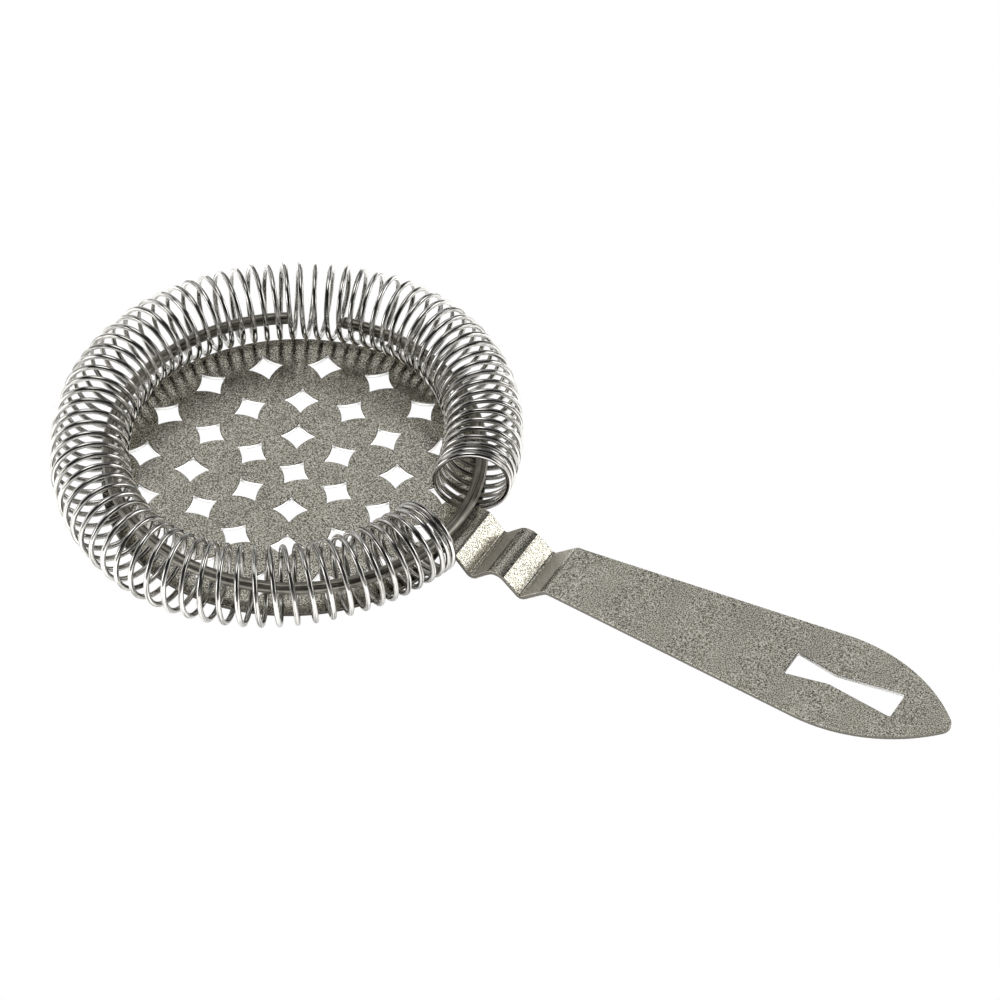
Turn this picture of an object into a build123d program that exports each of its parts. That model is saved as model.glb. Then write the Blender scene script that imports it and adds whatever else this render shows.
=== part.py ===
"""Hawthorne bar strainer: a stamped sheet (disc, pleated neck and leaf-shaped handle), a ring wire
brazed across the neck, the braze that holds it, and a loose coil spring wound round that ring wire.

Frame, in millimetres: the origin is the centre of the disc, on its flat underside. +X runs along the
handle and +Z points up through the coil. The strainer stands on its disc.
"""

import os
from bisect import bisect_right
from itertools import accumulate
from math import asin, atan2, cos, degrees, hypot, pi, radians, sin, sqrt, tan

from build123d import *

os.makedirs("parts", exist_ok=True)

# ---------------------------------------------------------------- sizes: strainer sheet
SHEET = 0.9                 # thickness; the disc fills Z from 0 to SHEET
DISC_RADIUS = 37.5
STAR_RINGS = ((0.0, 1), (10.0, 6), (20.0, 12), (30.0, 16))   # ring radius, holes in that ring
STAR_TURN = -2.5            # turn of the whole hole pattern from the handle's axis, degrees
STAR_DIAGONAL = 7.0         # corner to corner
STAR_DISH = 0.4             # how far each side of a star bows inward

NECK_HALF_WIDTH = 6.65
# Upper face of the neck seen from the side: x, height above the disc's upper face, bend radius
NECK_BENDS = (
    (34.9, 0.0, 1.2),       # leaves the disc
    (36.5, 4.0, 1.2),       # near side of the crest that carries the ring wire
    (40.3, 4.0, 1.4),       # far side of that crest
    (43.9, 0.0, 0.7),       # first valley
    (49.2, 4.85, 3.2),      # middle crest
    (54.7, 0.0, 0.7),       # second valley
    (59.8, 4.3, 1.8),       # joins the handle
)
RELIEF_X = 33.6             # slits beside the neck start here and let it rise out of the disc
RELIEF_WIDTH = 0.5

HANDLE_X = 61.0             # the neck starts to flare into the handle
HANDLE_CLIMB = 1.0          # degrees; the handle rises gently away from the neck
SHOULDER_X = 118.0          # widest place of the handle
SHOULDER_HALF_WIDTH = 11.5
LEAF_RADIUS = 33.0          # of the two arcs that run from the shoulders to the tip
TIP_RADIUS = 2.4

SLOT_X = (109.1, 117.7, 131.4)           # near end, waist and far end of the bow-tie slot
SLOT_HALF_WIDTHS = (3.03, 1.41, 3.22)    # half widths at those three places
SLOT_CORNER = 0.5
SLOT_WAIST_ROUND = 4.0

# ---------------------------------------------------------------- sizes: ring wire and braze
ROD_DIAMETER = 2.4
ROD_RING_RADIUS = 36.3
ROD_CENTRE_X = 0.5
ROD_TILT = 1.9              # degrees; the ring rises towards the side away from the handle
ROD_GAP_ANGLE = 115.3       # middle of the opening in the ring, counter-clockwise from the handle
ROD_GAP = 16.5              # width of that opening, degrees
ROD_SEAT_GAP = 0.1          # filled by braze, between the wire and the crest of the neck
BRAZE_HALF_LENGTH = 5.8     # of the seam along the crest, each way from the middle
BRAZE_RADIUS = 1.5          # of the bead
BRAZE_SHIFT = 0.35          # of the bead's middle from the wire's, towards the handle

# ---------------------------------------------------------------- sizes: coil spring
COIL_WIRE = 1.05
COIL_OUTSIDE = 15.6         # outside diameter of the winding
COIL_RING_RADIUS = 38.85    # mean radius of the winding's own axis, about the ring wire's centre
# How far that axis is out of round: cosine and sine parts that go once, twice, three and four
# times round. The first moves it away from the handle, the second makes it wider than it is long.
COIL_OUT_OF_ROUND = ((-2.5, 0.45), (-1.05, 0.1), (-0.1, 0.2), (0.25, -0.25))
COIL_START = 14.6           # angles between which the axis is curved, degrees; the end turns beyond
COIL_END = 343.6            # them stand on straight tails
COIL_LIFT = 0.2             # between the winding and the disc's upper face
MOUTH_YAW = 16.0            # the first turn's plane is turned this far towards the inside, degrees
MOUTH_LEAN = 4.0            # and its top leans this far away from the mouth, degrees;
MOUTH_REACH = 9.0           # later turns are turned and lean less, until this distance along the axis
# Turns from the start to the end of the winding: how many, and their pitch along the axis
START_TAIL_TURNS = ((1, 1.27),)
CURVED_TURNS = (
    (1, 1.65),
    (1, 2.1),
    (2, 2.4),
    (16, 2.64),
    (21, 2.93),
    (31, 3.07),
    (2, 2.9),
    (5, 2.44),
    (1, 1.57),
)
END_TAIL_TURNS = ((2, 1.25),)
AXIS_STEPS = 3000           # short chords that measure the distance along the axis

disc_top = SHEET
crest_top = disc_top + NECK_BENDS[1][1]


# ---------------------------------------------------------------- strainer sheet
def star_sides():
    """The four concave sides of one star hole, with a corner on the local X axis."""
    corner = STAR_DIAGONAL / 2
    middle = corner / sqrt(2) - STAR_DISH
    for quarter in range(4):
        start = Vector(corner, 0).rotate(Axis.Z, 90 * quarter)
        bow = Vector(middle, 0).rotate(Axis.Z, 90 * quarter + 45)
        end = Vector(corner, 0).rotate(Axis.Z, 90 * (quarter + 1))
        ThreePointArc(start, bow, end)


with BuildPart() as disc:
    Cylinder(DISC_RADIUS, SHEET, align=(Align.CENTER, Align.CENTER, Align.MIN))
    with BuildSketch() as stars:
        for ring_radius, count in STAR_RINGS:
            with PolarLocations(ring_radius, count, start_angle=STAR_TURN):
                with BuildSketch(mode=Mode.PRIVATE) as star:
                    with BuildLine():
                        star_sides()
                    make_face()
                add(star.sketch)
    extrude(amount=SHEET, mode=Mode.SUBTRACT)
    with BuildSketch() as neck_opening:
        with Locations((RELIEF_X, 0)):
            opening_width = 2 * (NECK_HALF_WIDTH + RELIEF_WIDTH)
            Rectangle(DISC_RADIUS, opening_width, align=(Align.MIN, Align.CENTER))
    extrude(amount=SHEET, mode=Mode.SUBTRACT)

# Where the flared side meets the leaf arc, and where that arc meets the tip's small arc
leaf_centre_y = SHOULDER_HALF_WIDTH - LEAF_RADIUS
tip_centre_x = SHOULDER_X + sqrt((LEAF_RADIUS - TIP_RADIUS) ** 2 - leaf_centre_y**2)
flare_run = SHOULDER_X - HANDLE_X
flare_fall = NECK_HALF_WIDTH - leaf_centre_y
flare = asin(LEAF_RADIUS / hypot(flare_run, flare_fall)) - atan2(flare_fall, flare_run)
flare_end = (SHOULDER_X - LEAF_RADIUS * sin(flare), leaf_centre_y + LEAF_RADIUS * cos(flare))
tip_slope = atan2(tip_centre_x - SHOULDER_X, -leaf_centre_y)
handle_end_x = tip_centre_x + TIP_RADIUS


def under_face(corners, bends):
    """Corners and bend radii of the sheet's lower face, from those of its upper face."""
    points = [Vector(*corner) for corner in corners]
    runs = [(after - before).normalized() for before, after in zip(points, points[1:])]
    downs = [run.rotate(Axis.Z, -90) for run in runs]
    lower = [points[0] + downs[0] * SHEET]
    radii = []
    for point, bend, first, second in zip(points[1:], bends, downs, downs[1:]):
        lower.append(point + (first + second) * (SHEET / (1 + first.dot(second))))
        is_crest = first.cross(second).Z < 0
        radii.append(bend - SHEET if is_crest else bend + SHEET)
    lower.append(points[-1] + downs[-1] * SHEET)
    return [(point.X, point.Y) for point in lower], radii


with BuildPart() as strap:
    # side view: upper face with its bends, and the lower face parallel to it
    climb_end = handle_end_x + SHEET
    last_x, last_rise, _ = NECK_BENDS[-1]
    climb_rise = last_rise + (climb_end - last_x) * tan(radians(HANDLE_CLIMB))
    upper_corners = [(x, disc_top + rise) for x, rise, _ in NECK_BENDS]
    upper_corners = [(RELIEF_X, disc_top), *upper_corners, (climb_end, disc_top + climb_rise)]
    upper_bends = [bend for _, _, bend in NECK_BENDS]
    lower_corners, lower_bends = under_face(upper_corners, upper_bends)
    with BuildSketch(Plane.XZ) as side_view:
        with BuildLine():
            upper_side = FilletPolyline(*upper_corners, radius=upper_bends)
            lower_side = FilletPolyline(*lower_corners, radius=lower_bends)
            Line(upper_side @ 0, lower_side @ 0)
            Line(upper_side @ 1, lower_side @ 1)
        make_face()
    extrude(amount=2 * SHOULDER_HALF_WIDTH, both=True)
    # plan: neck strip, flared handle and leaf-shaped end
    with BuildSketch() as plan:
        with BuildLine():
            Polyline((RELIEF_X, 0), (RELIEF_X, NECK_HALF_WIDTH), (HANDLE_X, NECK_HALF_WIDTH))
            side = Line((HANDLE_X, NECK_HALF_WIDTH), flare_end)
            leaf = JernArc(side @ 1, side % 1, LEAF_RADIUS, -degrees(flare + tip_slope))
            JernArc(leaf @ 1, leaf % 1, TIP_RADIUS, -(90 - degrees(tip_slope)))
            mirror(about=Plane.XZ)
        make_face()
    extrude(amount=crest_top + 5 * SHEET, mode=Mode.INTERSECT)
    # hanging slot
    with BuildSketch() as slot:
        with BuildLine():
            Polyline(
                *[(x, half) for x, half in zip(SLOT_X, SLOT_HALF_WIDTHS)],
                *[(x, -half) for x, half in reversed(list(zip(SLOT_X, SLOT_HALF_WIDTHS)))],
                close=True,
            )
        make_face()
        waist = slot.vertices().filter_by(lambda v: abs(v.X - SLOT_X[1]) < SLOT_CORNER)
        ends = slot.vertices().filter_by(lambda v: abs(v.X - SLOT_X[1]) > SLOT_CORNER)
        fillet(waist, SLOT_WAIST_ROUND)
        fillet(ends, SLOT_CORNER)
    extrude(amount=crest_top + 5 * SHEET, mode=Mode.SUBTRACT)

with BuildPart() as strainer_sheet:
    add(disc.part)
    add(strap.part)

strainer_sheet.part.label = "strainer_sheet"
export_step(strainer_sheet.part, "parts/strainer_sheet.step")

# ---------------------------------------------------------------- ring wire
rod_neck_x = ROD_CENTRE_X + ROD_RING_RADIUS
rod_neck_z = crest_top + ROD_SEAT_GAP + ROD_DIAMETER / 2
# the ring's plane passes through the wire's centre at the neck and tips up from there
rod_plane = Plane(
    origin=(rod_neck_x, 0, rod_neck_z),
    x_dir=(cos(radians(ROD_TILT)), 0, -sin(radians(ROD_TILT))),
    z_dir=(sin(radians(ROD_TILT)), 0, cos(radians(ROD_TILT))),
)
ROD_START = ROD_GAP_ANGLE + ROD_GAP / 2
ROD_SWEEP = 360 - ROD_GAP

with BuildPart() as ring_wire:
    with BuildLine(rod_plane):
        ring = CenterArc((-ROD_RING_RADIUS, 0), ROD_RING_RADIUS, ROD_START, ROD_SWEEP)
    with BuildSketch(Plane(origin=ring @ 0, z_dir=ring % 0)):
        Circle(ROD_DIAMETER / 2)
    sweep()

ring_wire.part.label = "ring_wire"
export_step(ring_wire.part, "parts/ring_wire.step")

# ---------------------------------------------------------------- braze
with BuildPart() as braze:
    # a bead of filler along the wire, trimmed to the wire and to the crest of the neck
    with BuildSketch(Plane.XZ.offset(-BRAZE_HALF_LENGTH)) as seam:
        with Locations((rod_neck_x + BRAZE_SHIFT, crest_top)):
            Circle(BRAZE_RADIUS)
        with Locations((rod_neck_x + BRAZE_SHIFT, crest_top - SHEET / 2)):
            Rectangle(
                3 * BRAZE_RADIUS,
                BRAZE_RADIUS,
                align=(Align.CENTER, Align.MAX),
                mode=Mode.SUBTRACT,
            )
    extrude(amount=2 * BRAZE_HALF_LENGTH)
    add(ring_wire.part, mode=Mode.SUBTRACT)
    add(strainer_sheet.part, mode=Mode.SUBTRACT)

braze.part.label = "braze"
export_step(braze.part, "parts/braze.step")

# ---------------------------------------------------------------- coil spring
turn_radius = (COIL_OUTSIDE - COIL_WIRE) / 2
coil_centre_z = disc_top + COIL_LIFT + COIL_OUTSIDE / 2


def winding_length(turns):
    return sum(count * pitch for count, pitch in turns)


def ring_point(angle):
    """A point on the winding's curved axis, and the horizontal direction out of the ring there."""
    reach = COIL_RING_RADIUS
    growth = 0
    for waves, (cosine, sine) in enumerate(COIL_OUT_OF_ROUND, start=1):
        reach += cosine * cos(waves * angle) + sine * sin(waves * angle)
        growth += waves * (sine * cos(waves * angle) - cosine * sin(waves * angle))
    outward = Vector(cos(angle), sin(angle), 0)
    onward = Vector(-sin(angle), cos(angle), 0)
    along = (outward * growth + onward * reach).normalized()
    centre = Vector(ROD_CENTRE_X, 0, coil_centre_z)
    return centre + outward * reach, Vector(along.Y, -along.X, 0)


axis_step = (COIL_END - COIL_START) / AXIS_STEPS
axis_angles = [radians(COIL_START + axis_step * k) for k in range(AXIS_STEPS + 1)]
axis_points = [ring_point(angle)[0] for angle in axis_angles]
axis_distances = [0.0, *accumulate((b - a).length for a, b in zip(axis_points, axis_points[1:]))]


def mouth_share(distance):
    """1 for the first turn, falling to 0 at the end of the mouth's reach."""
    return max(0, 1 - (distance + winding_length(START_TAIL_TURNS)) / MOUTH_REACH)


def axis_frame(distance):
    """A point on the winding's axis and the direction out of the ring in the plane of the turn
    there, at a distance along that axis from where the first straight tail joins the curve."""
    on_curve = min(max(distance, 0), axis_distances[-1])
    step = min(bisect_right(axis_distances, on_curve), AXIS_STEPS)
    before, after = axis_distances[step - 1], axis_distances[step]
    share = (on_curve - before) / (after - before)
    angle = axis_angles[step - 1] + share * (axis_angles[step] - axis_angles[step - 1])
    point, out = ring_point(angle)
    along = Vector(-out.Y, out.X, 0)
    yaw = MOUTH_YAW * mouth_share(distance)
    return point + along * (distance - on_curve), out.rotate(Axis.Z, yaw)


def half_turn_distances():
    """Distances along the axis at which the wire crosses the inner and the outer side, in turn."""
    stretch = axis_distances[-1] / winding_length(CURVED_TURNS)
    pitches = [pitch for count, pitch in START_TAIL_TURNS for _ in range(count)]
    pitches += [pitch * stretch for count, pitch in CURVED_TURNS for _ in range(count)]
    pitches += [pitch for count, pitch in END_TAIL_TURNS for _ in range(count)]
    distances = [-winding_length(START_TAIL_TURNS)]
    for pitch in pitches:
        distances += [distances[-1] + pitch / 2, distances[-1] + pitch]
    return distances


with BuildPart() as coil_spring:
    with BuildLine() as winding:
        side_of_ring = -1
        rising = 1
        crossings = []
        distances = half_turn_distances()
        for distance in distances:
            point, out = axis_frame(distance)
            crossings.append(point + out * turn_radius * side_of_ring)
            side_of_ring = -side_of_ring
        # each half turn is a half circle that stands on its two crossings, over and under by turns
        for first, second, distance in zip(crossings, crossings[1:], distances):
            chord = second - first
            lean = radians(MOUTH_LEAN) * mouth_share(distance)
            sideways = Vector(-chord.Y, chord.X, 0) / 2 * sin(lean)
            upright = Vector(0, 0, rising * chord.length / 2 * cos(lean))
            ThreePointArc(first, (first + second) / 2 + sideways + upright, second)
            rising = -rising
    wire_path = winding.wires()[0]
    with BuildSketch(Plane(origin=wire_path @ 0, z_dir=wire_path % 0)):
        Circle(COIL_WIRE / 2)
    sweep(path=wire_path)

coil_spring.part.label = "coil_spring"
export_step(coil_spring.part, "parts/coil_spring.step")

wire_length = sum(edge.length for edge in winding.edges())
print(f"coil: {len(crossings) // 2} turns, wire {wire_length:.0f} mm long")
print(f"coil volume over section times length: "
      f"{coil_spring.part.volume / (pi * COIL_WIRE**2 / 4 * wire_length):.4f}")
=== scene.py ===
"""Looks of the hawthorne strainer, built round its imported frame. Lengths are in metres."""

import math

import bmesh
import bpy
import numpy as np
from mathutils import Matrix, Vector, noise


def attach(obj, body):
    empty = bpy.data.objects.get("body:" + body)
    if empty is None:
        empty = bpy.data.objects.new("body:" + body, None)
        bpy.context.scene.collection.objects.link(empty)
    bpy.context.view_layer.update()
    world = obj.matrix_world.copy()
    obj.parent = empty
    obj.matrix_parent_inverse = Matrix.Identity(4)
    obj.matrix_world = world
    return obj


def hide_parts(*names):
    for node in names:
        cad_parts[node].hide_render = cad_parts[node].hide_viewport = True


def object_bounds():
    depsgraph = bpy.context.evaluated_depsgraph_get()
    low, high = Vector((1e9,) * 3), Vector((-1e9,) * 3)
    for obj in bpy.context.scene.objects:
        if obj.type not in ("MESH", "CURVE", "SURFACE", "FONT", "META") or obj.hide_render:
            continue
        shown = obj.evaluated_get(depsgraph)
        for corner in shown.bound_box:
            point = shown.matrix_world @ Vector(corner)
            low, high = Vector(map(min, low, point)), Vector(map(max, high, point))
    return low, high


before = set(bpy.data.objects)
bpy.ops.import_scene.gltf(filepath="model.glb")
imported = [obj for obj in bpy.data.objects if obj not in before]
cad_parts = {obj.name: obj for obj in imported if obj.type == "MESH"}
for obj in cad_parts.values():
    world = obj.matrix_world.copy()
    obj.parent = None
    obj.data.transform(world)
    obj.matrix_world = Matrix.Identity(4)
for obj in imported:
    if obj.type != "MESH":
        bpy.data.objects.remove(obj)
cad_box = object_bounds()

MM = 0.001
TAU = 2 * math.pi

# ------------------------------------------------------------------ sizes of the strainer sheet
SHEET = 0.9 * MM
DISC_RADIUS = 37.5 * MM
STAR_RINGS = ((0, 1), (10 * MM, 6), (20 * MM, 12), (30 * MM, 16))
STAR_TURN = math.radians(-2.5)
STAR_CORNER = 3.5 * MM
STAR_DISH = 0.4 * MM
STAR_CORNER_ROUND = 0.16 * MM

NECK_HALF = 6.65 * MM
RELIEF_X = 33.6 * MM
RELIEF_WIDTH = 0.5 * MM
# upper face from the side: x, height above the disc, bend radius
NECK_BENDS = [
    (34.9 * MM, 0.0 * MM, 1.2 * MM),
    (36.5 * MM, 4.0 * MM, 1.2 * MM),
    (40.3 * MM, 4.0 * MM, 1.4 * MM),
    (43.9 * MM, 0.0 * MM, 0.7 * MM),
    (49.2 * MM, 4.85 * MM, 3.2 * MM),
    (54.7 * MM, 0.0 * MM, 0.7 * MM),
    (59.8 * MM, 4.3 * MM, 1.8 * MM),
]
HANDLE_X = 61 * MM
HANDLE_CLIMB = math.radians(1)
SHOULDER_X = 118 * MM
SHOULDER_HALF = 11.5 * MM
LEAF_RADIUS = 33 * MM
TIP_RADIUS = 2.4 * MM
SLOT_X = (109.1 * MM, 117.7 * MM, 131.4 * MM)
SLOT_HALF = (3.03 * MM, 1.41 * MM, 3.22 * MM)
SLOT_CORNER = 0.5 * MM
SLOT_WAIST = 4.0 * MM
EDGE_ROUND = 0.13 * MM

# stretches of the sheet with colour of their own: two in x, and one in distance from the middle
# the rising slopes: rougher, and paler with a painted reflection of the bright facets beside them
RISING_SLOPES = ((44.3 * MM, 47.3 * MM), (55.1 * MM, 58.8 * MM))
# the disc's rim under the coil: darker, as painted shade of the coil
PAINTED_COIL_SHADE_BAND = (35.4 * MM, 38.4 * MM)

# ------------------------------------------------------------------ sizes of the wires
ROD_RADIUS = 1.2 * MM
ROD_RING = 36.3 * MM
ROD_TILT = math.radians(1.9)
ROD_NECK = Vector((36.8 * MM, 0, 6.2 * MM))
ROD_GAP_ANGLE = math.radians(115.3)
ROD_GAP = math.radians(16.5)
ROD_EASE = 0.25 * MM

WIRE_RADIUS = 0.525 * MM
TURN_RADIUS = 7.275 * MM
COIL_CENTRE = Vector((0.5 * MM, 0, 8.9 * MM))
COIL_RING = 38.85 * MM
# how far the winding's axis is out of round: cosine and sine parts, one to four waves
COIL_OUT_OF_ROUND = (
    (-2.5 * MM, 0.45 * MM),
    (-1.05 * MM, 0.1 * MM),
    (-0.1 * MM, 0.2 * MM),
    (0.25 * MM, -0.25 * MM),
)
COIL_START = math.radians(14.6)
COIL_END = math.radians(343.6)
# how far the first turn is turned and leaned, and how soon that fades along the coil
MOUTH_YAW = math.radians(16)
MOUTH_LEAN = math.radians(4)
MOUTH_REACH = 9 * MM
# the pitch of each turn in the straight tails, and (turns, relative pitch) round the ring
START_TAIL = [1.27 * MM]
END_TAIL = [1.25 * MM] * 2
CURVED_TURNS = (
    (1, 1.65),
    (1, 2.1),
    (2, 2.4),
    (16, 2.64),
    (21, 2.93),
    (31, 3.07),
    (2, 2.9),
    (5, 2.44),
    (1, 1.57),
)

# the bead of braze: half its length and width, its rise and drop from its middle, how far it lies
# off the ring wire towards the handle, and how long its ends take to fade
BRAZE_HALF = 5.8 * MM
BRAZE_WIDE = 1.65 * MM
BRAZE_TALL = 0.75 * MM
BRAZE_LOW = 0.35 * MM
BRAZE_SHIFT = 0.35 * MM
BRAZE_FADE = 0.7 * MM

# ------------------------------------------------------------------ sizes of the studio
# soft boxes: azimuth, elevation, inner and outer radius in degrees, brightness
SOFT_BOXES = (
    (210, 46, 8, 24, 0.51),
    (131, 22, 8, 20, 2.0),
    (104, 17, 3, 12, 1.6),
    (317, 17, 6, 18, 2.3),
    (270, 24, 8, 26, 0.6),
    (232, 26, 6, 20, 0.42),
    (250, 78, 7, 22, 1.9),
    (172, 52, 6, 20, 0.2),
)
ROOM = 0.025
HORIZON = 0.25
# the height of the horizon band's lower and upper edge, as a part of a unit vector
HORIZON_EDGE = (0.12, 0.50)
FLOOR_HALF = 3.0
FLOOR_DROP = 0.2 * MM
OVERHEAD_HEIGHT = 1.2
OVERHEAD_SIZE = 1.6
OVERHEAD_POWER = 30
CAMERA_AZIMUTH = 30.08
CAMERA_ELEVATION = 45.85
CAMERA_AIM = Vector((36.70 * MM, 16.77 * MM, -2.87 * MM))
CAMERA_DISTANCE = 961.9 * MM
CAMERA_LENS = 177.6


# ------------------------------------------------------------------ small helpers
def new_object(name, data):
    obj = bpy.data.objects.new(name, data)
    bpy.context.scene.collection.objects.link(obj)
    return obj


def arc_points(centre, radius, start, end, steps):
    """Points on an arc, ends included."""
    angles = np.linspace(start, end, steps + 1)
    return [(centre[0] + radius * math.cos(a), centre[1] + radius * math.sin(a)) for a in angles]


def rounded_corner(before, corner, after, radius, steps):
    """The corner of an outline, replaced by an arc of that radius."""
    corner = Vector(corner)
    to_before = (Vector(before) - corner).normalized()
    to_after = (Vector(after) - corner).normalized()
    half = to_before.angle(to_after) / 2
    reach = radius / math.tan(half)
    start = corner + to_before * reach
    middle = corner + (to_before + to_after).normalized() * (radius / math.sin(half))
    end = corner + to_after * reach
    first = (start - middle).normalized()
    last = (end - middle).normalized()
    points = []
    for k in range(steps + 1):
        points.append(middle + first.slerp(last, k / steps) * radius)
    return [(p.x, p.y) for p in points]


# ------------------------------------------------------------------ strainer sheet
def star_outline(centre, turn):
    """One star hole: four sides that bow inward between slightly blunt corners."""
    steps = 12
    side = []
    for k in range(steps + 1):
        t = k / steps
        straight = Vector((1 - t, t)) * STAR_CORNER
        side.append(straight - Vector((1, 1)).normalized() * 4 * t * (1 - t) * STAR_DISH)
    side[0] += (side[1] - side[0]).normalized() * STAR_CORNER_ROUND
    side[-1] += (side[-2] - side[-1]).normalized() * STAR_CORNER_ROUND
    points = []
    for quarter in range(4):
        a = turn + quarter * math.pi / 2
        for p in side:
            x = p.x * math.cos(a) - p.y * math.sin(a)
            y = p.x * math.sin(a) + p.y * math.cos(a)
            points.append((centre[0] + x, centre[1] + y))
    return points


def star_outlines():
    loops = []
    for ring, count in STAR_RINGS:
        for k in range(count):
            a = STAR_TURN + TAU * k / count
            loops.append(star_outline((ring * math.cos(a), ring * math.sin(a)), a))
    return loops


def handle_side():
    """The +Y side of the neck and handle, from the disc to the tip."""
    centre_y = SHOULDER_HALF - LEAF_RADIUS
    tip_x = SHOULDER_X + math.sqrt((LEAF_RADIUS - TIP_RADIUS) ** 2 - centre_y**2)
    run = SHOULDER_X - HANDLE_X
    fall = NECK_HALF - centre_y
    flare = math.asin(LEAF_RADIUS / math.hypot(run, fall)) - math.atan2(fall, run)
    slope = math.atan2(tip_x - SHOULDER_X, -centre_y)
    leaf = arc_points(
        (SHOULDER_X, centre_y), LEAF_RADIUS, math.pi / 2 + flare, math.pi / 2 - slope, 60
    )
    tip = arc_points((tip_x, 0), TIP_RADIUS, math.pi / 2 - slope, 0, 8)
    return [(HANDLE_X, NECK_HALF)] + leaf + tip[1:]


def sheet_outline():
    """The whole blank: round the disc, into the relief slits and round the handle."""
    rim_y = NECK_HALF + RELIEF_WIDTH
    start = math.asin(rim_y / DISC_RADIUS)
    rim = arc_points((0, 0), DISC_RADIUS, start, TAU - start, 300)
    side = handle_side()
    near_side = [(x, -y) for x, y in side]
    far_side = side[-2::-1]
    near_slit = [(RELIEF_X, -rim_y), (RELIEF_X, -NECK_HALF)]
    far_slit = [(RELIEF_X, NECK_HALF), (RELIEF_X, rim_y)]
    return rim + near_slit + near_side + far_side + far_slit


def slot_outline():
    """The bow-tie slot: straight sides to a soft waist, and square ends with small radii."""
    (x0, x1, x2), (h0, h1, h2) = SLOT_X, SLOT_HALF
    corners = [(x0, h0), (x1, h1), (x2, h2), (x2, -h2), (x1, -h1), (x0, -h0)]
    radii = [SLOT_CORNER, SLOT_WAIST, SLOT_CORNER] * 2
    points = []
    for k, radius in enumerate(radii):
        before = corners[k - 1]
        after = corners[(k + 1) % len(corners)]
        points += rounded_corner(before, corners[k], after, radius, 6)
    return points


def neck_profile():
    """The neck's upper face from the side, as (x, height) points close together on its bends."""
    last_x, last_h, _ = NECK_BENDS[-1]
    end_x = 150 * MM
    ends = [
        (RELIEF_X, 0.0),
        (end_x, last_h + (end_x - last_x) * math.tan(HANDLE_CLIMB)),
    ]
    corners = [ends[0]] + [(x, h) for x, h, _ in NECK_BENDS] + [ends[1]]
    points = [ends[0]]
    for k, (x, h, radius) in enumerate(NECK_BENDS, start=1):
        points += rounded_corner(corners[k - 1], corners[k], corners[k + 1], radius, 10)
    return points + [ends[1]]


def flat_blank(loops):
    """The stamped blank, flat, with rounded edges: its upper face at height 0."""
    curve = bpy.data.curves.new("blank", "CURVE")
    curve.dimensions = "2D"
    curve.fill_mode = "BOTH"
    curve.extrude = SHEET / 2 - EDGE_ROUND
    curve.bevel_depth = EDGE_ROUND
    curve.bevel_resolution = 2
    curve.offset = -EDGE_ROUND
    for loop in loops:
        spline = curve.splines.new("POLY")
        spline.points.add(len(loop) - 1)
        for point, (x, y) in zip(spline.points, loop):
            point.co = (x, y, 0, 1)
        spline.use_cyclic_u = True
    holder = new_object("blank", curve)
    bpy.context.view_layer.update()
    evaluated = holder.evaluated_get(bpy.context.evaluated_depsgraph_get())
    mesh = bpy.data.meshes.new_from_object(evaluated)
    bpy.data.objects.remove(holder)
    bpy.data.curves.remove(curve)
    mesh.transform(Matrix.Translation((0, 0, -SHEET / 2)))
    return mesh


def mark_cut_edges(bm):
    """Gives the blank's cut edges their own material slots: 1 for the holes' walls, painted light;
    2 for the wall round the outside, painted shade; and 3 for the rounded rims of the holes,
    painted shade."""
    walls_level, rims_level = 0.1, 0.85
    for face in bm.faces:
        level = abs(face.normal.z)
        x, y, _ = face.calc_center_median()
        in_star = math.hypot(x, y) < DISC_RADIUS - 1.5 * MM
        in_slot = SLOT_X[0] - MM < x < SLOT_X[2] + MM and abs(y) < SLOT_HALF[2] + 0.3 * MM
        if level < walls_level:
            face.material_index = 1 if in_star or in_slot else 2
        elif level < rims_level and (in_star or in_slot):
            face.material_index = 3


def bend_neck(mesh):
    """Cuts the flat blank across the neck and lifts it onto the neck's profile."""
    profile = neck_profile()
    xs = np.array([p[0] for p in profile])
    hs = np.array([p[1] for p in profile])
    bm = bmesh.new()
    bm.from_mesh(mesh)
    bmesh.ops.remove_doubles(bm, verts=bm.verts, dist=1e-7)
    bm.normal_update()
    mark_cut_edges(bm)
    along_handle = np.linspace(SLOT_X[0] - 40 * MM, SLOT_X[2], 12)
    for x in sorted(set(xs[:-1]) | set(along_handle)):
        geometry = bm.verts[:] + bm.edges[:] + bm.faces[:]
        bmesh.ops.bisect_plane(
            bm, geom=geometry, dist=1e-8, plane_co=(x, 0, 0), plane_no=(1, 0, 0)
        )
    slope = np.gradient(hs, xs)
    for vert in bm.verts:
        x, y, depth = vert.co.x, vert.co.y, -vert.co.z
        between_slits = abs(y) < NECK_HALF + RELIEF_WIDTH / 2
        on_strap = x > RELIEF_X and (between_slits or x > DISC_RADIUS + MM)
        if not on_strap:
            vert.co.z = SHEET - depth
            continue
        height = float(np.interp(x, xs, hs))
        rise = float(np.interp(x, xs, slope))
        length = math.hypot(1, rise)
        vert.co.x = x + depth * rise / length
        vert.co.z = SHEET + height - depth / length
    bm.normal_update()
    bm.to_mesh(mesh)
    bm.free()


def make_sheet():
    mesh = flat_blank([sheet_outline(), slot_outline()] + star_outlines())
    bend_neck(mesh)
    return new_object("strainer_sheet_finished", mesh)


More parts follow.
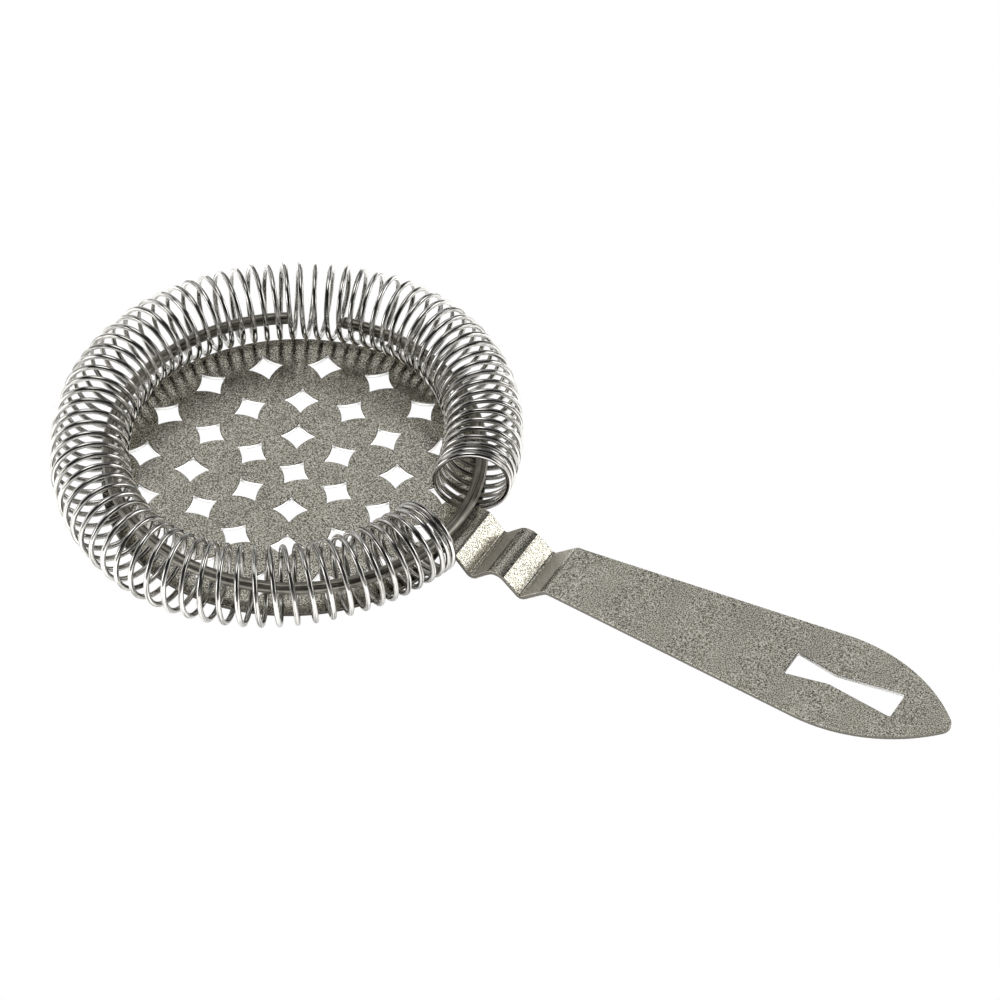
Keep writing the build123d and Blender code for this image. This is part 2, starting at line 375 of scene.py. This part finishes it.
# ------------------------------------------------------------------ wires
def sweep_wire(name, path, ups, radius, sides, radius_at=None):
    """A round wire along a path of points. ups are directions square to the path, one per point.
    radius_at(run, total) may change the radius along it. Its UV map runs along the wire and round
    it, both in metres."""
    bm = bmesh.new()
    uv = bm.loops.layers.uv.new("wire")
    path = [Vector(p) for p in path]
    run = [0.0]
    for a, b in zip(path, path[1:]):
        run.append(run[-1] + (b - a).length)
    rings = []
    for k, point in enumerate(path):
        ahead = path[min(k + 1, len(path) - 1)] - path[max(k - 1, 0)]
        ahead.normalize()
        up = (ups[k] - ahead * ups[k].dot(ahead)).normalized()
        across = ahead.cross(up)
        r = radius if radius_at is None else radius_at(run[k], run[-1])
        ring = []
        for j in range(sides):
            a = TAU * j / sides
            ring.append(bm.verts.new(point + (up * math.cos(a) + across * math.sin(a)) * r))
        rings.append(ring)
    girth = TAU * radius
    for k, (first, second) in enumerate(zip(rings, rings[1:])):
        for j in range(sides):
            n = (j + 1) % sides
            face = bm.faces.new((first[j], first[n], second[n], second[j]))
            face.smooth = True
            along = (run[k], run[k], run[k + 1], run[k + 1])
            around = (j, j + 1, j + 1, j)
            for loop, u, v in zip(face.loops, along, around):
                loop[uv].uv = (u, v / sides * girth)
    for ring, flip in ((rings[0], True), (rings[-1], False)):
        face = bm.faces.new(list(reversed(ring)) if flip else ring)
        for loop in face.loops:
            loop[uv].uv = (0, 0)
    mesh = bpy.data.meshes.new(name)
    bmesh.ops.recalc_face_normals(bm, faces=bm.faces)
    bm.to_mesh(mesh)
    bm.free()
    return new_object(name, mesh)


def make_ring_wire():
    """The C-shaped ring wire, tipped up away from the neck, with its cut ends eased."""
    along_x = Vector((math.cos(ROD_TILT), 0, -math.sin(ROD_TILT)))
    normal = Vector((math.sin(ROD_TILT), 0, math.cos(ROD_TILT)))
    centre = ROD_NECK - along_x * ROD_RING
    start = ROD_GAP_ANGLE + ROD_GAP / 2
    steps = 360
    angles = [start + (TAU - ROD_GAP) * k / steps for k in range(steps + 1)]
    out = [along_x * math.cos(a) + Vector((0, 1, 0)) * math.sin(a) for a in angles]
    path = [centre + o * ROD_RING for o in out]

    def radius_at(run, total):
        from_end = min(run, total - run)
        return ROD_RADIUS - max(0.0, ROD_EASE - from_end)

    # An extra point just inside the first end gives its eased edge a shape. The one for the last
    # end is a point too early, and leaves a fold as long as the easing there.
    path.insert(1, path[0] + (path[1] - path[0]).normalized() * ROD_EASE)
    path.insert(-1, path[-2] + (path[-3] - path[-2]).normalized() * ROD_EASE)
    return sweep_wire("ring_wire_finished", path, [normal] * len(path), ROD_RADIUS, 32, radius_at)


class Winding:
    """The coil's axis: a slightly oval ring, with a short straight tail at each end. Distances
    along it start where the first tail joins the ring."""

    def __init__(self):
        self.angles = np.linspace(COIL_START, COIL_END, 4000)
        points = np.array([self.ring_point(a)[0] for a in self.angles])
        chords = np.linalg.norm(np.diff(points, axis=0), axis=1)
        self.run = np.concatenate([[0], np.cumsum(chords)])
        stretch = self.run[-1] / sum(count * pitch for count, pitch in CURVED_TURNS)
        pitches = list(START_TAIL)
        for count, pitch in CURVED_TURNS:
            pitches += [pitch * stretch] * count
        pitches += END_TAIL
        self.turns = len(pitches)
        self.marks = np.concatenate([[0], np.cumsum(pitches)]) - sum(START_TAIL)

    def ring_point(self, angle):
        """A point on the ring, and the horizontal direction out of it there."""
        reach = COIL_RING
        growth = 0
        for waves, (cosine, sine) in enumerate(COIL_OUT_OF_ROUND, start=1):
            reach += cosine * math.cos(waves * angle) + sine * math.sin(waves * angle)
            growth += waves * (sine * math.cos(waves * angle) - cosine * math.sin(waves * angle))
        outward = Vector((math.cos(angle), math.sin(angle), 0))
        onward = Vector((-math.sin(angle), math.cos(angle), 0))
        along = (outward * growth + onward * reach).normalized()
        return COIL_CENTRE + outward * reach, Vector((along.y, -along.x, 0))

    def place(self, turn):
        """The axis point at that many turns, and the turn's own outward and upward directions."""
        distance = float(np.interp(turn, np.arange(self.turns + 1), self.marks))
        on_ring = min(max(distance, 0), self.run[-1])
        point, out = self.ring_point(float(np.interp(on_ring, self.run, self.angles)))
        along = Vector((-out.y, out.x, 0))
        share = max(0, 1 - (distance - self.marks[0]) / MOUTH_REACH)
        yaw = MOUTH_YAW * share
        lean = MOUTH_LEAN * share
        turned = out * math.cos(yaw) + along * math.sin(yaw)
        onward = Vector((-turned.y, turned.x, 0))
        upright = Vector((0, 0, 1)) * math.cos(lean) + onward * math.sin(lean)
        return point + along * (distance - on_ring), turned, upright


def make_coil():
    """The spring: one wire wound round the axis, inner side first, over the top and back under."""
    winding = Winding()
    steps = 56
    path = []
    outs = []
    for k in range(winding.turns * steps + 1):
        point, out, up = winding.place(k / steps)
        angle = math.pi - TAU * k / steps
        radial = out * math.cos(angle) + up * math.sin(angle)
        path.append(point + radial * TURN_RADIUS)
        outs.append(radial)
    return sweep_wire("coil_spring_finished", path, outs, WIRE_RADIUS, 20)


# ------------------------------------------------------------------ braze
def make_braze():
    """The braze: a ragged bead along the crest of the neck, under the ring wire and beyond it."""
    stations = 110
    sides = 14
    bm = bmesh.new()
    rings = []
    for k in range(stations + 1):
        y = -BRAZE_HALF + 2 * BRAZE_HALF * k / stations
        lump = 0.6 * noise.noise(Vector((y * 900, 0.3, 1.7)))
        lump += 0.5 * noise.noise(Vector((y * 2600, 5, 2)))
        fade = min(1.0, (BRAZE_HALF - abs(y)) / BRAZE_FADE + 0.15)
        wide = (BRAZE_WIDE + 0.45 * MM * lump) * fade
        tall = (BRAZE_TALL + 0.25 * MM * lump) * fade
        low = BRAZE_LOW * fade
        sag = y * y / (2 * ROD_RING)
        under_rod = ROD_NECK.z - ROD_RADIUS - 0.1 * MM
        centre = Vector((ROD_NECK.x + BRAZE_SHIFT - sag, y, under_rod))
        ring = []
        for j in range(sides):
            a = TAU * j / sides
            rough = 1 + 0.15 * noise.noise(Vector((y * 3000, math.cos(a) * 2, math.sin(a) * 2)))
            height = math.sin(a) * (tall if math.sin(a) > 0 else low)
            ring.append(bm.verts.new(centre + Vector((math.cos(a) * wide, 0, height)) * rough))
        rings.append(ring)
    for first, second in zip(rings, rings[1:]):
        for j in range(sides):
            n = (j + 1) % sides
            face = bm.faces.new((first[j], first[n], second[n], second[j]))
            face.smooth = True
    bm.faces.new(rings[0])
    bm.faces.new(rings[-1])
    bmesh.ops.recalc_face_normals(bm, faces=bm.faces)
    mesh = bpy.data.meshes.new("braze_finished")
    bm.to_mesh(mesh)
    bm.free()
    return new_object("braze_finished", mesh)


# ------------------------------------------------------------------ shader nodes
def feed(tree, value, socket):
    """Links an output to a socket, or sets the socket's own number or colour."""
    if isinstance(value, bpy.types.NodeSocket):
        tree.links.new(value, socket)
    else:
        socket.default_value = value


def coordinates(tree, kind="Object"):
    return tree.nodes.new("ShaderNodeTexCoord").outputs[kind]


def along_axis(tree, vector, axis):
    node = tree.nodes.new("ShaderNodeSeparateXYZ")
    feed(tree, vector, node.inputs["Vector"])
    return node.outputs[axis]


def vector_math(tree, operation, output, first, second=None):
    node = tree.nodes.new("ShaderNodeVectorMath")
    node.operation = operation
    feed(tree, first, node.inputs[0])
    if second is not None:
        feed(tree, second, node.inputs[1])
    return node.outputs[output]


def times_plus(tree, value, factor, plus):
    """value x factor + plus, where each is a number or an output."""
    node = tree.nodes.new("ShaderNodeMath")
    node.operation = "MULTIPLY_ADD"
    for k, term in enumerate((value, factor, plus)):
        feed(tree, term, node.inputs[k])
    return node.outputs["Value"]


def smooth_step(tree, value, low, high):
    node = tree.nodes.new("ShaderNodeMapRange")
    node.interpolation_type = "SMOOTHSTEP"
    node.inputs["From Min"].default_value = low
    node.inputs["From Max"].default_value = high
    feed(tree, value, node.inputs["Value"])
    return node.outputs["Result"]


def between(tree, value, low, high, soft):
    """1 where value lies between low and high, with soft ends."""
    rise = smooth_step(tree, value, low - soft, low + soft)
    fall = smooth_step(tree, value, high + soft, high - soft)
    return times_plus(tree, rise, fall, 0.0)


def noise_node(tree, vector, scale, detail, rough):
    node = tree.nodes.new("ShaderNodeTexNoise")
    node.inputs["Scale"].default_value = scale
    node.inputs["Detail"].default_value = detail
    node.inputs["Roughness"].default_value = rough
    feed(tree, vector, node.inputs["Vector"])
    return node.outputs["Fac"]


def ramp(tree, value, stops):
    """A colour ramp. stops are (position, colour or grey)."""
    node = tree.nodes.new("ShaderNodeValToRGB")
    while len(node.color_ramp.elements) < len(stops):
        node.color_ramp.elements.new(0.5)
    for element, (position, colour) in zip(node.color_ramp.elements, stops):
        element.position = position
        if isinstance(colour, (int, float)):
            colour = (colour, colour, colour)
        element.color = (*colour, 1)
    feed(tree, value, node.inputs["Fac"])
    return node.outputs["Color"]


def mix(tree, kind, factor, first, second):
    node = tree.nodes.new("ShaderNodeMix")
    node.data_type = "RGBA"
    node.blend_type = kind
    feed(tree, factor, node.inputs["Factor"])
    feed(tree, first, node.inputs["A"])
    feed(tree, second, node.inputs["B"])
    return node.outputs["Result"]


def bump(tree, height, distance, strength):
    node = tree.nodes.new("ShaderNodeBump")
    node.inputs["Distance"].default_value = distance
    node.inputs["Strength"].default_value = strength
    feed(tree, height, node.inputs["Height"])
    return node.outputs["Normal"]


# ------------------------------------------------------------------ metals
def new_metal(name, metallic=1.0):
    """A new metal, with a function that sets or links its shader's sockets by name."""
    material = bpy.data.materials.new(name)
    material.use_nodes = True
    tree = material.node_tree
    shader = tree.nodes["Principled BSDF"]
    shader.inputs["Metallic"].default_value = metallic

    def give(socket, value):
        feed(tree, value, shader.inputs[socket])

    return material, tree, give


def blasted_steel():
    """Bead-blasted, nickel-grey steel: fine sparkling grain over soft, slightly warm mottling. The
    two rising slopes of the neck are duller, and paler with a painted reflection of the bright
    facets beside them; the disc's rim is darker with painted shade under the coil."""
    material, tree, give = new_metal("blasted_steel")
    place = coordinates(tree)
    mottle = noise_node(tree, place, 130, 4, 0.6)
    cool, warm = (0.46, 0.44, 0.375), (0.60, 0.56, 0.46)
    tint = ramp(tree, mottle, [(0.32, cool), (0.68, warm)])
    grain = noise_node(tree, place, 4100, 3, 0.7)
    speck = ramp(tree, grain, [(0.37, 0.04), (0.50, 0.92), (0.63, 2.6)])
    colour = mix(tree, "MULTIPLY", 1.0, tint, speck)

    flat = vector_math(tree, "MULTIPLY", "Vector", place, (1, 1, 0))
    from_middle = vector_math(tree, "LENGTH", "Value", flat)
    # painted shade of the coil: the disc's rim under it is made darker
    rim = between(tree, from_middle, *PAINTED_COIL_SHADE_BAND, 0.8 * MM)
    colour = mix(tree, "MULTIPLY", 1.0, colour, times_plus(tree, rim, -0.5, 1.0))

    # the rising slopes: rougher, and paler with a painted reflection of the bright facets beside
    # them
    matte_and_painted_reflection = 0.0
    for slope in RISING_SLOPES:
        here = between(tree, along_axis(tree, place, "X"), *slope, 0.3 * MM)
        matte_and_painted_reflection = times_plus(tree, here, 1.0, matte_and_painted_reflection)
    pale = (1.0, 0.93, 0.84, 1)
    give("Base Color", mix(tree, "MIX", times_plus(tree, matte_and_painted_reflection, 0.6, 0.0), colour, pale))
    fine = noise_node(tree, place, 5200, 2, 0.6)
    rough = ramp(tree, fine, [(0.3, 0.12), (0.7, 0.27)])
    give("Roughness", times_plus(tree, matte_and_painted_reflection, 0.5, rough))
    give("Normal", bump(tree, grain, 0.05 * MM, 0.4))
    return material


def plain_metal(name, colour, roughness):
    material, _, give = new_metal(name)
    give("Base Color", (*colour, 1))
    give("Roughness", roughness)
    return material


def draw_lines(tree, stretch, scale, detail):
    """Noise drawn out along a wire by its UV map."""
    uv = tree.nodes.new("ShaderNodeUVMap")
    uv.uv_map = "wire"
    mapping = tree.nodes.new("ShaderNodeMapping")
    mapping.inputs["Scale"].default_value = (stretch, 1, 1)
    feed(tree, uv.outputs["UV"], mapping.inputs["Vector"])
    return noise_node(tree, mapping.outputs["Vector"], scale, detail, 0.65)


def spring_wire():
    """Bright drawn spring wire, with fine draw lines along it."""
    material, tree, give = new_metal("spring_wire")
    lines = draw_lines(tree, 0.03, 3200, 3)
    dark, middle, bright = (0.04, 0.038, 0.034), (0.66, 0.645, 0.605), (0.98, 0.97, 0.94)
    give("Base Color", ramp(tree, lines, [(0.37, dark), (0.48, middle), (0.61, bright)]))
    give("Roughness", ramp(tree, lines, [(0.3, 0.08), (0.7, 0.17)]))
    give("Normal", bump(tree, lines, 0.01 * MM, 0.3))
    return material


def ring_wire_steel():
    """Dull drawn wire, darker than the spring, with draw lines and a little stain."""
    material, tree, give = new_metal("ring_wire_steel")
    lines = draw_lines(tree, 0.02, 3000, 4)
    dark, bright = (0.09, 0.085, 0.07), (0.50, 0.48, 0.42)
    shade = ramp(tree, lines, [(0.36, dark), (0.64, bright)])
    stain = noise_node(tree, coordinates(tree), 260, 3, 0.6)
    patches = ramp(tree, stain, [(0.35, 0.75), (0.65, 1.1)])
    give("Base Color", mix(tree, "MULTIPLY", 1.0, shade, patches))
    give("Roughness", ramp(tree, lines, [(0.3, 0.24), (0.7, 0.42)]))
    give("Normal", bump(tree, lines, 0.03 * MM, 0.4))
    return material


def braze_metal():
    """Dark, scaly braze; its darkness is partly painted shade of the gap under the ring wire."""
    material, tree, give = new_metal("braze_metal", metallic=0.9)
    lumps = noise_node(tree, coordinates(tree), 1800, 4, 0.65)
    dark, pale = (0.05, 0.045, 0.04), (0.22, 0.20, 0.17)
    give("Base Color", ramp(tree, lumps, [(0.35, dark), (0.6, pale)]))
    give("Roughness", ramp(tree, lumps, [(0.3, 0.55), (0.7, 0.35)]))
    give("Normal", bump(tree, lumps, 0.12 * MM, 0.7))
    return material


# ------------------------------------------------------------------ floor, light and camera
def camera_only(tree, seen, lit):
    """One shader for what the camera sees directly, and another for light and reflections."""
    choice = tree.nodes.new("ShaderNodeMixShader")
    path = tree.nodes.new("ShaderNodeLightPath")
    feed(tree, path.outputs["Is Camera Ray"], choice.inputs["Fac"])
    feed(tree, lit, choice.inputs[1])
    feed(tree, seen, choice.inputs[2])
    return choice.outputs["Shader"]


def pale_floor():
    """A floor that is plain white to look at, and takes soft shadows in the metal's reflections,
    where it is a little paler under the disc and in front of it: painted light for the metal to
    mirror."""
    material = bpy.data.materials.new("pale_floor")
    material.use_nodes = True
    tree = material.node_tree
    tree.nodes.remove(tree.nodes["Principled BSDF"])
    white = tree.nodes.new("ShaderNodeEmission")
    white.inputs["Strength"].default_value = 1.0
    paper = tree.nodes.new("ShaderNodeBsdfDiffuse")
    place = coordinates(tree)
    from_middle = vector_math(tree, "LENGTH", "Value", place)
    painted_light_under_disc = smooth_step(tree, from_middle, 41 * MM, 37 * MM)
    painted_light_in_front = smooth_step(tree, along_axis(tree, place, "Y"), -34 * MM, -50 * MM)
    # painted light: the floor is paler under the disc and in front of it, where the metal mirrors
    # it
    pale = times_plus(tree, painted_light_in_front, 0.2, times_plus(tree, painted_light_under_disc, 0.2, 0.75))
    feed(tree, pale, paper.inputs["Color"])
    surface = camera_only(tree, white.outputs["Emission"], paper.outputs["BSDF"])
    feed(tree, surface, tree.nodes["Material Output"].inputs["Surface"])
    mesh = bpy.data.meshes.new("floor")
    half = FLOOR_HALF
    corners = [(-half, -half, 0), (half, -half, 0), (half, half, 0), (-half, half, 0)]
    mesh.from_pydata(corners, [], [(0, 1, 2, 3)])
    mesh.materials.append(material)
    floor = new_object("floor", mesh)
    floor.location.z = cad_box[0][2] - FLOOR_DROP


def heading(azimuth, elevation):
    """A unit vector. Azimuth 0 is on the -Y side and grows towards +X."""
    a, e = math.radians(azimuth), math.radians(elevation)
    return Vector((math.sin(a) * math.cos(e), -math.cos(a) * math.cos(e), math.sin(e)))


def studio():
    """A dim room with a brighter band round the horizon and a few soft boxes."""
    world = bpy.data.worlds.new("studio")
    bpy.context.scene.world = world
    world.use_nodes = True
    tree = world.node_tree
    lit = tree.nodes["Background"]
    seen = tree.nodes.new("ShaderNodeBackground")
    for background in (lit, seen):
        background.inputs["Color"].default_value = (1, 1, 1, 1)
    direction = coordinates(tree, "Generated")
    low, high = HORIZON_EDGE
    band = smooth_step(tree, along_axis(tree, direction, "Z"), high, low)
    total = times_plus(tree, band, HORIZON, ROOM)
    for azimuth, elevation, inner, outer, brightness in SOFT_BOXES:
        towards = heading(azimuth, elevation)
        near = vector_math(tree, "DOT_PRODUCT", "Value", direction, towards)
        edge = math.cos(math.radians(outer)), math.cos(math.radians(inner))
        total = times_plus(tree, smooth_step(tree, near, *edge), brightness, total)
    feed(tree, total, lit.inputs["Strength"])
    surface = camera_only(tree, seen.outputs["Background"], lit.outputs["Background"])
    feed(tree, surface, tree.nodes["World Output"].inputs["Surface"])


def floor_light():
    """A large overhead light that the metal doesn't mirror."""
    data = bpy.data.lights.new("overhead", "AREA")
    data.size = OVERHEAD_SIZE
    data.energy = OVERHEAD_POWER
    light = new_object("overhead", data)
    light.location = (0, 0, OVERHEAD_HEIGHT)
    light.visible_glossy = False
    light.visible_camera = False


def photo_camera():
    """A long lens looking down at 46 degrees from the right of the handle's near side."""
    data = bpy.data.cameras.new("camera")
    data.lens = CAMERA_LENS
    data.sensor_width = 36
    data.clip_start = 0.05
    camera = new_object("camera", data)
    camera.location = CAMERA_AIM + heading(CAMERA_AZIMUTH, CAMERA_ELEVATION) * CAMERA_DISTANCE
    tilt = math.radians(90 - CAMERA_ELEVATION)
    camera.rotation_euler = (tilt, 0, math.radians(CAMERA_AZIMUTH))
    bpy.context.scene.camera = camera


# ------------------------------------------------------------------ assembly
def finish_piece(piece, node, body, material):
    piece.data.materials.append(material)
    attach(piece, body)
    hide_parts(node)


sheet = make_sheet()
finish_piece(sheet, "strainer_sheet", "strainer", blasted_steel())
# lit and shaded copies of one cut steel: near-white hole walls are painted light, the dark outer
# edge and dark hole rims are painted shade
sheet.data.materials.append(plain_metal("hole_walls_painted_light", (0.97, 0.96, 0.94), 0.35))
sheet.data.materials.append(plain_metal("outer_edge_painted_shade", (0.17, 0.16, 0.14), 0.35))
sheet.data.materials.append(plain_metal("hole_rims_painted_shade", (0.07, 0.065, 0.055), 0.5))
ring_wire = make_ring_wire()
finish_piece(ring_wire, "ring_wire", "strainer", ring_wire_steel())
braze = make_braze()
finish_piece(braze, "braze", "strainer", braze_metal())
coil = make_coil()
finish_piece(coil, "coil_spring", "coil", spring_wire())

pale_floor()
studio()
floor_light()
photo_camera()
bpy.context.scene.view_settings.view_transform = "Standard"
